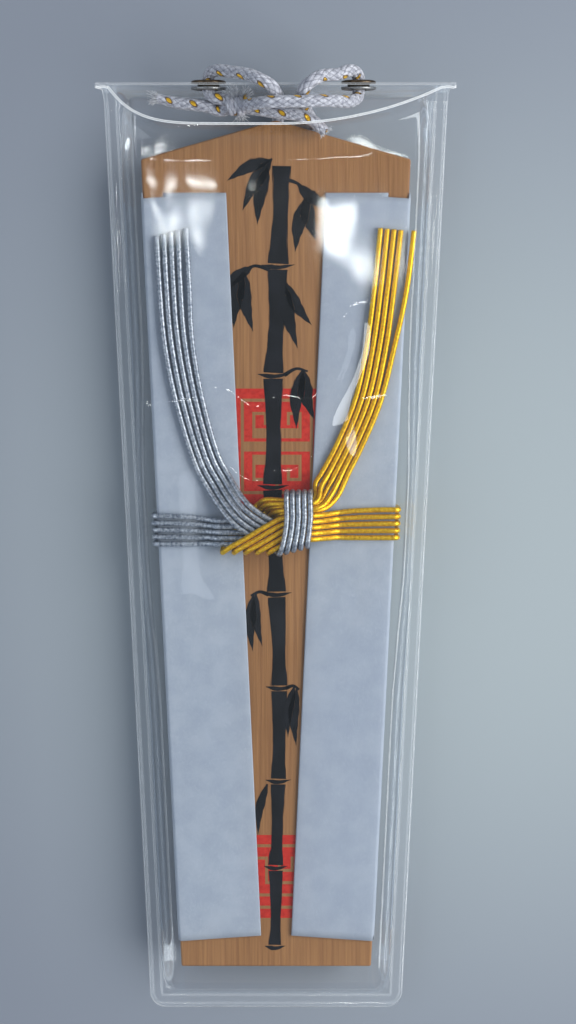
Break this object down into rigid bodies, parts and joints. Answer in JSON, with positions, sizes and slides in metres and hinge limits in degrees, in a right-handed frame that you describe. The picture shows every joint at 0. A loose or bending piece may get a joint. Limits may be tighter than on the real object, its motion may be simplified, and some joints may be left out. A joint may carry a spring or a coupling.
{
  "type": "omamori charm",
  "caption": "Pointed wooden tablet in a folded paper wrapper, tied with silver and gold paper cords, in a clear pouch with a curled header, eyelets and a hanging cord.",
  "frame": {"origin": "middle of the underside of the pouch, under the middle of its length and width", "axes": "+Y runs up the tablet to its point and the header, +Z out of the tablet's face, +X to the right seen from the front"},
  "size_m": [0.0548, 0.1497, 0.0167],
  "materials": {
    "wood": "planed, bare",
    "paper": "matt paper",
    "silver_paper_cord": "wound foil",
    "gold_paper_cord": "wound foil",
    "clear_film": "clear, glossy",
    "bronze": "dark, satin",
    "steel": "satin",
    "white_cord": "braided, white with gold flecks"
  },
  "bodies": {
    "pouch": {"pouch_back_sheet": "clear_film", "pouch_front_sheet": "clear_film", "cord_tucked_loop": "white_cord"},
    "header": {"header_back_sheet": "clear_film", "header_front_sheet": "clear_film", "eyelet_left": "bronze", "eyelet_washer_left": "steel", "eyelet_right": "bronze", "eyelet_washer_right": "steel", "cord_left_run": "white_cord", "cord_right_run": "white_cord", "cord_knot": "white_cord", "cord_plain_tail": "white_cord", "cord_frayed_tail": "white_cord"},
    "tied_tablet": {"wooden_tablet": "wood", "paper_wrapper": "paper", "silver_strand_1": "silver_paper_cord", "silver_strand_2": "silver_paper_cord", "silver_strand_3": "silver_paper_cord", "silver_strand_4": "silver_paper_cord", "silver_strand_5": "silver_paper_cord", "gold_strand_1": "gold_paper_cord", "gold_strand_2": "gold_paper_cord", "gold_strand_3": "gold_paper_cord", "gold_strand_4": "gold_paper_cord", "gold_strand_5": "gold_paper_cord"}
  },
  "joints": [
    {"name": "header_fold", "type": "hinge", "parent": "pouch", "child": "header", "pos_m": [0, 0.07293, 0.00405], "axis": [1, 0, 0], "range_deg": [-85, 0], "stiffness_Nm_per_rad": 0.003},
    {"name": "tablet_slide", "type": "slide", "parent": "pouch", "child": "tied_tablet", "axis": [0, 1, 0], "range_m": [-0.0015, 0.0015]}
  ]
}
